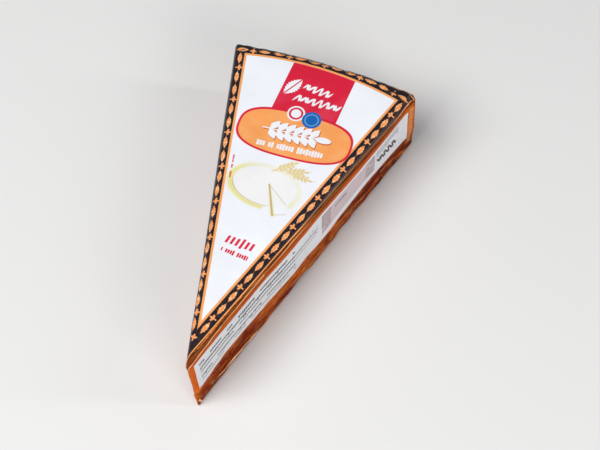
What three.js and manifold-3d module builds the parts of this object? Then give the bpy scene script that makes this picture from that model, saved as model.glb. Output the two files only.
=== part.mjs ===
// A wedge of soft-ripened cheese closed in one sheet of printed foil laminate.
//
// Millimetres, +Z up. The wedge lies on its base at z = 0, with its tip towards -Y and its
// curved heel towards +Y, and the middle of its bounding box stands over the origin.
// Outlines are first worked out with the wheel's centre, the sharp tip, at (0, 0).

import * as THREE from "three";
import { mergeVertices } from "three/addons/utils/BufferGeometryUtils.js";
import Module from "manifold-3d";

const wasm = await Module();
wasm.setup();

// Driving dimensions, in millimetres and degrees.
const SIDE_LENGTH = 142; // from the sharp tip to the sharp corners of the heel
const WEDGE_ANGLE = 31; // between the two cut sides
const PACK_HEIGHT = 37.6; // from the base to the top face
const HEEL_BULGE = 2.4; // how far the heel stands out between its corners
const SHOULDER_RADIUS = 3; // rounding from the top face to the walls
const BASE_RADIUS = 1.8; // rounding from the walls to the base
const TIP_RADIUS = 0.4; // upright edge at the tip
const HEEL_CORNER_RADIUS = 1.1; // upright edges at the heel
const FOIL_THICKNESS = 0.3; // one layer of the sheet
const CLEARANCE = 0.3; // between two layers, and between the sheet and the cheese
const SEAM_LAP = 12; // the two base flaps lap over each other by this much
const HEEL_LAP = 10; // the two heel flaps lap over each other by this much
const TIP_PLEAT_LENGTH = 16; // spare sheet at the tip, folded flat against the left wall

// How finely round stretches are divided.
const TIP_STEPS = 6;
const HEEL_CORNER_STEPS = 6;
const HEEL_STEPS = 16;
const EDGE_STEPS = 5;

const SMALLEST_RADIUS = 0.05; // a fillet that an inset has used up keeps this much
const BEYOND = 1; // how far a cutting solid reaches past what it cuts

const halfAngle = THREE.MathUtils.degToRad(WEDGE_ANGLE / 2);
const heelHalfWidth = SIDE_LENGTH * Math.sin(halfAngle);
const heelCornerY = SIDE_LENGTH * Math.cos(halfAngle);
const heelArcRadius = (heelHalfWidth ** 2 + HEEL_BULGE ** 2) / (2 * HEEL_BULGE);
const heelArcCentreY = heelCornerY + HEEL_BULGE - heelArcRadius;

// ---------------------------------------------------------------- outlines

// The point where the right-hand side and the heel meet when both are moved inwards.
function heelCorner(inset) {
  const start = new THREE.Vector2(0, inset / Math.sin(halfAngle));
  const along = new THREE.Vector2(Math.sin(halfAngle), Math.cos(halfAngle));
  const fromCentre = start.clone().sub(new THREE.Vector2(0, heelArcCentreY));
  const half = fromCentre.dot(along);
  const rest = fromCentre.lengthSq() - (heelArcRadius - inset) ** 2;
  return start.addScaledVector(along, -half + Math.sqrt(half * half - rest));
}

// Points on an arc, its last point left out when the next stretch begins there.
function arcPoints(centre, radius, from, to, steps) {
  const points = [];
  for (let i = 0; i <= steps; i += 1) {
    const angle = from + ((to - from) * i) / steps;
    const reach = new THREE.Vector2(Math.cos(angle), Math.sin(angle));
    points.push(centre.clone().addScaledVector(reach, radius));
  }
  return points;
}

// The wedge's outline moved inwards by an inset, anticlockwise, always with as many points.
function wedgeOutline(inset) {
  const tipRadius = Math.max(TIP_RADIUS - inset, SMALLEST_RADIUS);
  const cornerRadius = Math.max(HEEL_CORNER_RADIUS - inset, SMALLEST_RADIUS);
  const tipCentre = new THREE.Vector2(0, (inset + tipRadius) / Math.sin(halfAngle));
  const tip = arcPoints(tipCentre, tipRadius, Math.PI + halfAngle, 2 * Math.PI - halfAngle, TIP_STEPS);

  const cornerCentre = heelCorner(inset + cornerRadius);
  const arcCentre = new THREE.Vector2(0, heelArcCentreY);
  const arcStart = cornerCentre.clone().sub(arcCentre).angle();
  const corner = arcPoints(cornerCentre, cornerRadius, -halfAngle, arcStart, HEEL_CORNER_STEPS);
  const heel = arcPoints(arcCentre, heelArcRadius - inset, arcStart, Math.PI - arcStart, HEEL_STEPS);
  const mirrored = corner.map((p) => new THREE.Vector2(-p.x, p.y)).reverse();
  return [...tip, ...corner, ...heel.slice(1, -1), ...mirrored];
}

// ---------------------------------------------------------------- solids

function toSolid(geometry) {
  const bare = geometry.clone();
  bare.deleteAttribute("normal");
  bare.deleteAttribute("uv");
  const merged = mergeVertices(bare, 1e-4);
  return new wasm.Manifold(
    new wasm.Mesh({
      numProp: 3,
      vertProperties: new Float32Array(merged.attributes.position.array),
      triVerts: new Uint32Array(merged.index.array),
    }),
  );
}

function toMesh(name, solid, material) {
  const { vertProperties, triVerts } = solid.getMesh();
  const geometry = new THREE.BufferGeometry();
  geometry.setAttribute("position", new THREE.BufferAttribute(vertProperties, 3));
  geometry.setIndex(new THREE.BufferAttribute(triVerts, 1));
  geometry.computeVertexNormals();
  const mesh = new THREE.Mesh(geometry, material);
  mesh.name = name;
  return mesh;
}

// Joins rings of points, lowest first, into a closed skin with a flat cap at each end.
function loft(rings) {
  const count = rings[0].length;
  const points = rings.flat();
  const faces = [];
  for (let level = 0; level + 1 < rings.length; level += 1) {
    for (let i = 0; i < count; i += 1) {
      const a = level * count + i;
      const b = level * count + ((i + 1) % count);
      faces.push(a, b, b + count, a, b + count, a + count);
    }
  }
  const top = (rings.length - 1) * count;
  for (let i = 1; i + 1 < count; i += 1) {
    faces.push(0, i + 1, i);
    faces.push(top, top + i, top + i + 1);
  }
  const geometry = new THREE.BufferGeometry().setFromPoints(points);
  geometry.setIndex(faces);
  return toSolid(geometry);
}

// The rounded wedge moved inwards all round by an inset, between two levels.
function roundedWedge(inset, low, high) {
  const baseRadius = Math.max(BASE_RADIUS - inset, SMALLEST_RADIUS);
  const shoulderRadius = Math.max(SHOULDER_RADIUS - inset, SMALLEST_RADIUS);
  const rings = [];
  const addRing = (ringInset, z) =>
    rings.push(wedgeOutline(ringInset).map((p) => new THREE.Vector3(p.x, p.y, z)));
  for (let i = 0; i <= EDGE_STEPS; i += 1) {
    const turn = (Math.PI / 2) * (i / EDGE_STEPS);
    addRing(inset + baseRadius * (1 - Math.sin(turn)), low + baseRadius * (1 - Math.cos(turn)));
  }
  for (let i = 0; i <= EDGE_STEPS; i += 1) {
    const turn = (Math.PI / 2) * (i / EDGE_STEPS);
    addRing(inset + shoulderRadius * (1 - Math.cos(turn)), high - shoulderRadius * (1 - Math.sin(turn)));
  }
  return loft(rings);
}

// A box between two corners.
function boxBetween(low, high) {
  const size = high.clone().sub(low);
  const middle = low.clone().add(high).multiplyScalar(0.5);
  return toSolid(new THREE.BoxGeometry(size.x, size.y, size.z).translate(middle.x, middle.y, middle.z));
}

// A flat outline of (across, up) points pushed along the row's +Y from a starting place.
function prismAlongY(points, from, length) {
  const shape = new THREE.Shape(points.map(([x, z]) => new THREE.Vector2(x, z)));
  const geometry = new THREE.ExtrudeGeometry(shape, { depth: length, bevelEnabled: false });
  geometry.rotateX(Math.PI / 2);
  return toSolid(geometry.translate(0, from + length, 0));
}

// One more layer of sheet, lying on the outside of the wrapper and fused with it.
function outerLayer(thickness) {
  const outside = roundedWedge(-thickness, 0, PACK_HEIGHT);
  return outside.subtract(roundedWedge(FOIL_THICKNESS / 2, -BEYOND, PACK_HEIGHT + BEYOND));
}

// ---------------------------------------------------------------- the wrapper

// The closed skin round the cheese, still without its seam.
function closedSkin() {
  const outside = roundedWedge(0, 0, PACK_HEIGHT);
  return outside.subtract(roundedWedge(FOIL_THICKNESS, FOIL_THICKNESS, PACK_HEIGHT - FOIL_THICKNESS));
}

// The base seam: the left flap lies outside, and the right flap ends above it, one gap higher.
function withBaseSeam(skin) {
  const flapLow = FOIL_THICKNESS + CLEARANCE;
  const farX = heelHalfWidth + BEYOND;
  const farY = heelCornerY + HEEL_BULGE + BEYOND;
  const recess = boxBetween(
    new THREE.Vector3(SEAM_LAP / 2, -BEYOND, -BEYOND),
    new THREE.Vector3(farX, farY, flapLow),
  );
  const slab = boxBetween(
    new THREE.Vector3(-SEAM_LAP / 2, -BEYOND, flapLow),
    new THREE.Vector3(farX, farY, flapLow + FOIL_THICKNESS),
  );
  const innerFlap = slab.intersect(roundedWedge(0, 0, PACK_HEIGHT));
  return skin.subtract(recess).add(innerFlap);
}

// The two heel flaps: each narrows at 45 degrees away from its own edge of the heel.
function heelFlaps() {
  const reach = (PACK_HEIGHT + HEEL_LAP) / 2;
  const wide = heelHalfWidth - HEEL_CORNER_RADIUS;
  const narrow = wide - reach;
  const from = heelCornerY - HEEL_CORNER_RADIUS;
  const depth = HEEL_CORNER_RADIUS + HEEL_BULGE + BEYOND;
  const flapOutline = (edge, inner) => [
    [-wide, edge],
    [wide, edge],
    [narrow, inner],
    [-narrow, inner],
  ];
  const lowerPrism = prismAlongY(flapOutline(0, reach), from, depth);
  const upperPrism = prismAlongY(flapOutline(PACK_HEIGHT, PACK_HEIGHT - reach), from, depth);
  const upper = upperPrism.intersect(outerLayer(FOIL_THICKNESS));
  return upper.add(lowerPrism.intersect(outerLayer(2 * FOIL_THICKNESS)));
}

// The pleat that takes up the spare sheet at the tip, with a slanting free edge.
function tipPleat() {
  const nearY = 2 * (TIP_RADIUS / Math.sin(halfAngle));
  const top = PACK_HEIGHT - SHOULDER_RADIUS;
  const outline = [
    [nearY, BASE_RADIUS],
    [nearY + TIP_PLEAT_LENGTH / 2, BASE_RADIUS],
    [nearY + TIP_PLEAT_LENGTH, top],
    [nearY, top],
  ];
  const shape = new THREE.Shape(outline.map(([y, z]) => new THREE.Vector2(y, z)));
  const geometry = new THREE.ExtrudeGeometry(shape, { depth: heelHalfWidth, bevelEnabled: false });
  geometry.rotateX(Math.PI / 2).rotateZ(Math.PI / 2);
  return toSolid(geometry.translate(-heelHalfWidth, 0, 0)).intersect(outerLayer(FOIL_THICKNESS));
}

function wrapperSolid() {
  return withBaseSeam(closedSkin()).add(heelFlaps()).add(tipPleat());
}

// ---------------------------------------------------------------- the cheese

// The cheese rests on the inner base flap and follows the wrapper's inside with a gap.
function cheeseSolid() {
  const base = 2 * (FOIL_THICKNESS + CLEARANCE);
  const inset = FOIL_THICKNESS + CLEARANCE;
  return roundedWedge(inset, base, PACK_HEIGHT - inset);
}

// ---------------------------------------------------------------- the whole part

const printedFoil = new THREE.MeshStandardMaterial({ color: 0xb85a2c, roughness: 0.35, metalness: 0.7 });
const softCheese = new THREE.MeshStandardMaterial({ color: 0xf3ead0, roughness: 0.8, metalness: 0 });

const frontY = TIP_RADIUS / Math.sin(halfAngle) - TIP_RADIUS;
const backY = heelCornerY + HEEL_BULGE + 2 * FOIL_THICKNESS;

const wrappedWedge = new THREE.Group();
wrappedWedge.name = "wrapped_cheese_wedge";
wrappedWedge.add(toMesh("wrapper", wrapperSolid(), printedFoil));
wrappedWedge.add(toMesh("cheese_wedge", cheeseSolid(), softCheese));
wrappedWedge.position.y = -(frontY + backY) / 2;

export default wrappedWedge;
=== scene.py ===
"""The looks of a wedge of soft-ripened cheese wrapped in printed foil.

Shapes are worked out in millimetres in the wheel's frame: the wheel's centre, which is the
wedge's sharp tip, at (0, 0), the heel towards +Y and the base at z = 0. They are moved into the
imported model's frame, in metres, when each mesh is made.

The print is laid out on the flat sheet. There the top face keeps its place, and each wall is
folded out round its own edge, so a point of a wall lies as far outside the edge as the sheet is
long between them.
"""

import math
from functools import partialmethod

import bpy
import numpy as np
from mathutils import Matrix, Vector, noise


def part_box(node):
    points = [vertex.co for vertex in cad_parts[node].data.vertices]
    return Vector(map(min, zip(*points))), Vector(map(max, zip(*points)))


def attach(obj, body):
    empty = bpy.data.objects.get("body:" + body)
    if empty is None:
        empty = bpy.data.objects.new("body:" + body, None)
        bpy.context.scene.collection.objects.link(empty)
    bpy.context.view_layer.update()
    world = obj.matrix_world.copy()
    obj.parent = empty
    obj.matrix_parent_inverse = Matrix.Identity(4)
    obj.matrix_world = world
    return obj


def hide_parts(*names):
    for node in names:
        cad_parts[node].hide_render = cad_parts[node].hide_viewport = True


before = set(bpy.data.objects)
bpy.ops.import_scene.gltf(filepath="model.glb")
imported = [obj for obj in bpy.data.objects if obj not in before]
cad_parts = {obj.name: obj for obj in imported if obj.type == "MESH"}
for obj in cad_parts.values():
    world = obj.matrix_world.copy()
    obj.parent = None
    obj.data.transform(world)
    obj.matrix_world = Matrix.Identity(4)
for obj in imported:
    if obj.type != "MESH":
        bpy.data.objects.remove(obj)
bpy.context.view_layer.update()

MM = 0.001

# ---- sizes, in millimetres

SIDE_LENGTH = 142.0
WEDGE_ANGLE = 31.0
HEEL_BULGE = 2.4
TIP_RADIUS = 0.4
HEEL_CORNER_RADIUS = 1.1
SMALLEST_RADIUS = 0.05
SHEET = 0.12  # thickness of the foil laminate
SHEET_GAP = 0.2  # between two layers
LET_IN = 0.12  # how deep a flap's folded edges lie in the sheet beneath
INNER_SIDE_DEPTH = 0.35  # of the wrapper's inner side, behind its outer side
LOWEST_FLAP, LOWEST_SKIN = 0.02, 0.03  # least heights above the floor
SEAM_LAP = 12.0
HEEL_LAP = 10.0
TIP_PLEAT_LENGTH = 16.0

wrapper_low, wrapper_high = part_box("wrapper")
HEIGHT = wrapper_high.z / MM

half_angle = math.radians(WEDGE_ANGLE / 2)
SIN, COS = math.sin(half_angle), math.cos(half_angle)
heel_half_width = SIDE_LENGTH * SIN
heel_corner_y = SIDE_LENGTH * COS
heel_arc_radius = (heel_half_width**2 + HEEL_BULGE**2) / (2 * HEEL_BULGE)
heel_arc_centre = heel_corner_y + HEEL_BULGE - heel_arc_radius
front_y = TIP_RADIUS / SIN - TIP_RADIUS
FRAME_SHIFT = wrapper_low.y / MM - front_y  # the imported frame's y less the wheel frame's y
arc_centre = np.array([0.0, heel_arc_centre])
largest_inset = (heel_corner_y + HEEL_BULGE) / (1 + 1 / SIN)


# ---- the even wedge

TIP, RIGHT, RIGHT_CORNER, HEEL, LEFT_CORNER, LEFT = range(6)


def heel_corner(inset):
    """Where the right side and the heel meet when both are moved inwards."""
    start = np.stack([np.zeros_like(inset), inset / SIN], -1)
    along = np.array([SIN, COS])
    from_centre = start - arc_centre
    half = from_centre @ along
    rest = (from_centre**2).sum(-1) - (heel_arc_radius - inset) ** 2
    return start + along * (-half + np.sqrt(half * half - rest))[..., None]


def outline(section, share, inset):
    """Points of the outline moved inwards by inset, and their outward normals.

    section says which stretch a point is on, and share how far along it, anticlockwise.
    """
    section, share, inset = np.broadcast_arrays(section, share, inset)
    tip_radius = np.maximum(TIP_RADIUS - inset, SMALLEST_RADIUS)
    corner_radius = np.maximum(HEEL_CORNER_RADIUS - inset, SMALLEST_RADIUS)
    tip_centre = np.stack([np.zeros_like(inset), (inset + tip_radius) / SIN], -1)
    corner_centre = heel_corner(inset + corner_radius)
    arc_start = np.arctan2(corner_centre[..., 1] - heel_arc_centre, corner_centre[..., 0])

    # The left half is the right half mirrored and run through backwards.
    mirrored = (section == LEFT_CORNER) | (section == LEFT)
    run = np.where(mirrored, 1 - share, share)
    side = (section == RIGHT) | (section == LEFT)
    corner = (section == RIGHT_CORNER) | (section == LEFT_CORNER)

    at_tip = math.pi + half_angle + share * (math.pi - 2 * half_angle)
    at_corner = -half_angle + run * (arc_start + half_angle)
    at_heel = arc_start + share * (math.pi - 2 * arc_start)
    where = [section == TIP, corner, section == HEEL]
    angle = np.select(where, [at_tip, at_corner, at_heel], -half_angle)
    normal = np.stack([np.cos(angle), np.sin(angle)], -1)

    def at(centre, radius):
        return centre + normal * radius[..., None]

    along_side = at(tip_centre, tip_radius) * (1 - run)[..., None]
    along_side = along_side + at(corner_centre, corner_radius) * run[..., None]
    point = at(tip_centre, tip_radius)
    point = np.where(side[..., None], along_side, point)
    point = np.where(corner[..., None], at(corner_centre, corner_radius), point)
    point = np.where((section == HEEL)[..., None], at(arc_centre, heel_arc_radius - inset), point)
    flip = np.where(mirrored, -1.0, 1.0)[..., None] * np.array([1.0, 0.0]) + np.array([0.0, 1.0])
    return point * flip, normal * flip


def turns(shoulder, base, height=HEIGHT):
    """Reach at the top and at the foot of the walls, and where the base begins."""
    turn = shoulder * math.pi / 2
    wall_end = turn + height - shoulder - base
    return turn, wall_end, wall_end + base * math.pi / 2


def profile(reach, shoulder, base, height=HEIGHT):
    """Inset, height and tilt after a length of sheet from the start of the shoulder.

    The tilt is 0 on the top face, a right angle on the walls and half a turn on the base.
    """
    turn, wall_end, foot_end = turns(shoulder, base, height)
    theta = np.clip(reach / shoulder, 0, math.pi / 2)
    phi = np.clip((reach - wall_end) / base, 0, math.pi / 2)
    inset = shoulder * (1 - np.sin(theta)) + base * (1 - np.cos(phi))
    inset = inset + np.maximum(-reach, 0) + np.maximum(reach - foot_end, 0)
    z = height - shoulder * (1 - np.cos(theta)) - np.clip(reach - turn, 0, wall_end - turn)
    return inset, z - base * np.sin(phi), theta + phi


def smooth(low, high, x):
    """0 below low, 1 above high, and an even rise between them."""
    t = np.clip((x - low) / (high - low), 0, 1)
    return t * t * (3 - 2 * t)


def noise_at(x, y, z, seed):
    """Blender's smooth noise, about -1 to 1, at arrays of places."""
    x, y, z = np.broadcast_arrays(x, y, z)
    places = np.stack([x, y, z], -1).reshape(-1, 3) + seed * 17.31
    values = np.fromiter((noise.noise(p) for p in places), float, len(places))
    return values.reshape(x.shape)


# ---- the crinkled sheet

def shoulder_radius(point):
    """The rounding from the top to the walls: tighter towards the tip."""
    x, y = point[..., 0], point[..., 1]
    return 2.9 + 0.4 * noise_at(x / 24, y / 24, 0.5, 3) - 0.9 * smooth(40, 5, y)


def base_radius(point):
    """The rounding from the walls to the base: about 1 mm at the tip and 3 mm at the heel."""
    x, y = point[..., 0], point[..., 1]
    return 1.1 + 2.0 * smooth(10, 120, y) + 0.4 * noise_at(x / 18, y / 18, 7.5, 5)


# Creases of the right wall: both ends as (distance along the side from the sharp tip, distance
# outside the edge on the flat sheet), how far each stands out, and its width.
RIGHT_CREASES = [
    ((-2, 3.3), (21, 1.0), 0.45, 0.8),
    ((18, 1.2), (64, 1.6), 0.22, 0.7),
    ((118, 1.4), (139, 0.9), 0.25, 0.7),
    ((66, 4.6), (112, 6.3), 0.16, 1.1),
    ((8, 31.4), (26, 33.8), 0.55, 0.8),
    ((20, 33.8), (42, 34.4), 0.55, 0.8),
    ((20, 29.5), (40, 30.5), -0.55, 1.8),
    ((2.5, 28), (4.5, 34), 0.35, 0.6),
    ((44, 27.5), (60, 32.0), 0.30, 1.1),
    ((58, 31.0), (84, 28.5), 0.35, 1.1),
    ((84, 29.5), (104, 33.0), -0.40, 1.4),
    ((100, 28.0), (126, 30.0), 0.35, 1.1),
    ((116, 32.5), (138, 31.0), -0.40, 1.3),
]


def crease(s, d, start, end, height, width):
    """A raised crease along a line on the sheet, sharp along its crest."""
    start, end = np.array(start), np.array(end)
    along = end - start
    share = np.clip(((s - start[0]) * along[0] + (d - start[1]) * along[1]) / (along @ along), 0, 1)
    away = np.hypot(s - start[0] - share * along[0], d - start[1] - share * along[1])
    fade = np.sin(math.pi * np.clip(share, 0.03, 0.97)) ** 0.4
    return height * fade * np.exp(-away / width)


def stand_out(point, z, s, d, right, heel):
    """How far the crinkled sheet stands out from the even wedge, in millimetres."""
    x, y = point[..., 0], point[..., 1]
    shoulder = smooth(-6, -1, d) * (1 - smooth(3, 9, d))
    wall = smooth(1, 4, d)
    foot = wall * smooth(16, 4, z)

    swell = 0.16 * noise_at(x / 26, y / 26, z / 26, 1)
    streaks = 0.15 * shoulder * noise_at(x / 30, y / 30, d / 1.2, 11)
    ripple = 0.22 * wall * noise_at(x / 22, y / 22, z / 9, 21)
    crumple = 1 - 2.2 * np.abs(noise_at(x / 9, y / 9, z / 4.2, 31))
    fine = 1 - 2.2 * np.abs(noise_at(x / 4.3, y / 4.3, z / 2.3, 41))
    creased = foot * (0.34 * crumple + 0.13 * fine) + (wall - foot) * (0.05 * crumple + 0.02 * fine)
    gather = heel * shoulder * 0.38 * noise_at(x / 3.4, y / 12, d / 5, 51)
    puff = right * 0.7 * smooth(50, 75, s) * smooth(139, 128, s) * np.exp(-(((d - 0.9) / 2.2) ** 2))
    pinch = smooth(7, 1, np.hypot(np.abs(x) - heel_half_width, y - heel_corner_y))
    pinch = pinch * smooth(3, 17, z) * smooth(HEIGHT - 0.5, HEIGHT - 5, z) * (x > 0)
    total = swell + streaks + ripple + creased + gather + puff + pinch
    folds = foot * (0.65 * crumple + 0.35 * fine)
    for start, end, height, width in RIGHT_CREASES:
        line = right * crease(s, d, start, end, height, width)
        total = total + line
        folds = folds + 1.6 * np.minimum(line, 0)
    return total, folds


# How far the panel's upper and lower edges waver outwards on the right wall, by distance from
# the tip. The left wall has the same print with its own crinkles.
WAVER_AT = [0, 4, 20, 45, 55, 62, 70, 82, 100, 110, 118, 130, 138]
UPPER_WAVER = [1.4, 1.2, -0.3, -0.6, 0.1, 0.2, 0.2, -0.5, 0.2, 0.6, 0.8, -0.4, -1.0]
LOWER_WAVER = [3.3, 3.2, -0.2, -0.4, 0.4, 0.9, 0.2, 0.8, -1.4, -2.1, -1.5, -0.8, 0.0]


def sheet_waver(point, s, d, right):
    """How far the sheet has slid outwards over the wedge where it wrapped the walls."""
    lower = np.clip((d - 7) / 17, 0, 1)
    on_right = np.interp(s, WAVER_AT, UPPER_WAVER) * (1 - lower)
    on_right = on_right + np.interp(s, WAVER_AT, LOWER_WAVER) * lower
    elsewhere = 1.2 * noise_at(point[..., 0] / 24, point[..., 1] / 24, d / 40, 61)
    return (right * on_right + (1 - right) * elsewhere) * smooth(1.5, 5.5, d)


def skin(section, share, reach, lift=0.0):
    """Places of the sheet in the wheel's frame, and where they lie on the flat sheet.

    The third number of a place on the flat sheet tells crests, near 1, from valleys, near -1.
    reach is the length of sheet from the start of the shoulder, negative on the top face. lift
    moves the sheet outwards by a further distance.
    """
    section, share, reach, lift = np.broadcast_arrays(section, share, reach, lift)
    edge, _ = outline(section, share, np.zeros(reach.shape))
    shoulder, base = shoulder_radius(edge), base_radius(edge)
    inset, z, tilt = profile(reach, shoulder, base)
    point, normal = outline(section, share, np.minimum(inset, largest_inset))
    d = reach - shoulder
    s = np.abs(point[..., 0]) * SIN + point[..., 1] * COS
    right = ((section == RIGHT) | (section == TIP)) * 1.0
    heel = (section == HEEL) * 1.0
    out, folds = stand_out(point, z, s, d, right, heel)
    out = out * smooth(math.pi, math.pi * 0.75, tilt) + lift
    across = point + normal * (out * np.sin(tilt))[..., None]
    drag = smooth(5, 1, point[..., 1]) * smooth(9, 0, z)
    across += drag[..., None] * np.array([0.5, -0.7])
    z = z + out * np.cos(tilt)
    place = np.concatenate([across, z[..., None]], -1)
    unrolled = d + np.minimum(inset, largest_inset) - sheet_waver(point, s, d, right)
    on_sheet = point + normal * unrolled[..., None]
    return place, np.concatenate([on_sheet, folds[..., None]], -1)


def wall_reach(section, share):
    """Radii of the shoulder and the foot, and the reach at the ends of each."""
    edge, _ = outline(section, share, np.zeros(share.shape))
    shoulder, base = shoulder_radius(edge), base_radius(edge)
    return shoulder, base, *turns(shoulder, base)


# ---- meshes

SHEET_UNIT = 100.0  # one unit of the sheet's UV map is this many millimetres


def add_object(name, data):
    made = bpy.data.objects.new(name, data)
    bpy.context.scene.collection.objects.link(made)
    return made


class Shape:
    """Places and faces gathered for one mesh, in the wheel's frame."""

    def __init__(self):
        self.places, self.sheet, self.faces, self.slots = [], [], [], []
        self.size = 0

    def add(self, places, sheet, faces, slot=0):
        self.places.append(places.reshape(-1, 3))
        self.sheet.append(sheet.reshape(-1, 3))
        self.faces += [tuple(self.size + i for i in face) for face in faces]
        self.slots += [slot] * len(faces)
        self.size += len(places.reshape(-1, 3))

    def to_object(self, name, sharp_above=50):
        places = np.concatenate(self.places) + np.array([0.0, FRAME_SHIFT, 0.0])
        mesh = bpy.data.meshes.new(name)
        mesh.from_pydata((places * MM).tolist(), [], self.faces)
        corners = np.zeros(len(mesh.loops), np.int32)
        mesh.loops.foreach_get("vertex_index", corners)
        uv = mesh.uv_layers.new(name="Sheet")
        sheet = np.concatenate(self.sheet)
        uv.data.foreach_set("uv", (sheet[corners, :2] / SHEET_UNIT).ravel().astype(np.float32))
        folds = mesh.attributes.new("folds", "FLOAT", "POINT")
        folds.data.foreach_set("value", sheet[:, 2].astype(np.float32))
        mesh.polygons.foreach_set("use_smooth", [True] * len(mesh.polygons))
        mesh.polygons.foreach_set("material_index", self.slots)
        mesh.set_sharp_from_angle(angle=math.radians(sharp_above))
        mesh.update()
        return add_object(name, mesh)


def ring_faces(rings, count):
    """Quads between closed rings, facing outwards when the rings run downwards."""
    faces = []
    for level in range(rings - 1):
        for i in range(count):
            a, b = level * count + i, level * count + (i + 1) % count
            faces.append((a, a + count, b + count, b))
    faces.append(tuple(range(count)))
    faces.append(tuple((rings - 1) * count + i for i in reversed(range(count))))
    return faces


def thin_sheet(shape, outer, inner, sheet):
    """A thin closed sheet from matching grids of its outer and inner sides.

    The outer side faces the viewer when rows run downwards and columns to the right.
    """
    rows, columns, _ = outer.shape
    behind = rows * columns
    faces = []
    for r in range(rows - 1):
        for c in range(columns - 1):
            a = r * columns + c
            faces.append((a, a + columns, a + columns + 1, a + 1))
            faces.append((behind + a, behind + a + 1, behind + a + columns + 1, behind + a + columns))
    index = np.arange(behind).reshape(rows, columns)
    edges = [index[0, :-1], index[:-1, -1], index[-1, :0:-1], index[:0:-1, 0]]
    rim = np.concatenate(edges).tolist()
    for a, b in zip(rim, rim[1:] + rim[:1]):
        faces.append((a, b, behind + b, behind + a))
    shape.add(np.concatenate([outer, inner]), np.concatenate([sheet, sheet]), faces)


TIP_STEPS, SIDE_STEPS, CORNER_STEPS, HEEL_STEPS = 6, 208, 6, 104


def stations(fineness=1.0):
    """Sections and shares of evenly spaced points round the outline, anticlockwise."""
    steps = (TIP_STEPS, SIDE_STEPS, CORNER_STEPS, HEEL_STEPS, CORNER_STEPS, SIDE_STEPS)
    sections, shares = [], []
    for section, most in enumerate(steps):
        count = max(3, round(most * fineness))
        sections += [section] * count
        shares += [i / count for i in range(count)]
    return np.array(sections), np.array(shares)


def ring_reaches(top_reach, turn, wall_end, foot_end, under_reach, steps):
    """Reach of every ring at every station, from the middle of the top to that of the base.

    steps counts the rings across the top, round the shoulder, down the wall, round the foot and
    under the base.
    """
    ends = [0 * turn, turn, wall_end, foot_end]
    rings = [-(t**1.3) * top_reach for t in np.linspace(1, 0, steps[0])[:-1]]
    for low, high, count in zip(ends, ends[1:], steps[1:4]):
        rings += [low + t * (high - low) for t in np.linspace(0, 1, count)[:-1]]
    rings += [foot_end + t**1.3 * under_reach for t in np.linspace(0, 1, steps[4])]
    return np.array(rings)


def skin_reaches(sections, shares, steps):
    shoulder, base, *ends = wall_reach(sections, shares)
    innermost = largest_inset - 0.3
    return ring_reaches(innermost - shoulder, *ends, innermost - base, steps)


SEAM_X = SEAM_LAP / 2


def raised(place, least):
    place[..., 2] = np.maximum(place[..., 2], least)
    return place


def above_floor(place, least):
    """The sheet bears on the floor, or on the outer base flap where there is one."""
    return raised(place, least + 0.45 * smooth(SEAM_X + 3.5, SEAM_X + 0.5, place[..., 0]))


def both_sides(section, share, reach, lift):
    """Outer and inner sides of a layer of sheet lifted off the skin, and its places when flat."""
    outer, sheet = skin(section, share, reach, lift + SHEET)
    inner, _ = skin(section, share, reach, lift)
    return outer, inner, sheet


def add_skin(shape):
    """The wrapper's outer side, and its inner side with the second material."""
    sections, shares = stations()
    reach = skin_reaches(sections, shares, (14, 12, 46, 9, 10))
    place, sheet = skin(sections, shares, reach)
    shape.add(above_floor(place, LOWEST_SKIN), sheet, ring_faces(len(reach), len(sections)))

    sections, shares = stations(0.5)
    reach = skin_reaches(sections, shares, (8, 7, 24, 5, 6))
    place, sheet = skin(sections, shares, reach, -INNER_SIDE_DEPTH)
    inside = [tuple(reversed(face)) for face in ring_faces(len(reach), len(sections))]
    shape.add(above_floor(place, 0.3), sheet, inside, 1)


def heel_share(x):
    """Shares of the heel's arc for places x on it, its right end first."""
    edge, _ = outline(HEEL, 0.0, np.array(0.0))
    start = math.atan2(edge[1] - heel_arc_centre, edge[0])
    return (np.arccos(np.clip(x / heel_arc_radius, -1, 1)) - start) / (math.pi - 2 * start)


HEEL_REACH = (HEIGHT + HEEL_LAP) / 2
HEEL_WIDE = heel_half_width - HEEL_CORNER_RADIUS


def add_heel_flap(shape, from_top, low_lift, seed):
    """A flap over the heel that narrows at 45 degrees away from its own edge."""
    rows, columns = 30, 84
    away = np.linspace(0, 1, rows)[:, None]
    across = np.linspace(-1, 1, columns)[None, :]
    across = across if from_top else across[:, ::-1]
    ragged = 0.35 * noise_at(across[0] * 5, seed, 0.5, seed)
    half_width = HEEL_WIDE - away * HEEL_REACH
    x = -across * half_width
    share = heel_share(x)
    _, _, turn, wall_end, _ = wall_reach(HEEL, share)
    near_corner = smooth(1.0, 0.9, np.abs(across))
    length = (HEEL_REACH + ragged) * away
    if from_top:
        reach = turn * 0.35 + length - 1.2 * away
    else:
        reach = wall_end + 0.6 - length + 0.8 * away
    merged = smooth(0, 0.12, away) * (0.3 + 0.7 * near_corner)
    lift = low_lift * merged - LET_IN * (1 - merged) + 0.05 * noise_at(x / 9, away * 4, seed, seed)
    outer, inner, sheet = both_sides(HEEL, share, reach, lift)
    thin_sheet(shape, raised(outer, LOWEST_SKIN + SHEET), raised(inner, LOWEST_SKIN), sheet)


def left_share(y):
    """Shares of the left side for places y along it, its heel end first."""
    ends, _ = outline(LEFT, np.array([0.0, 1.0]), np.zeros(2))
    return (ends[0, 1] - y) / (ends[0, 1] - ends[1, 1])


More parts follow.
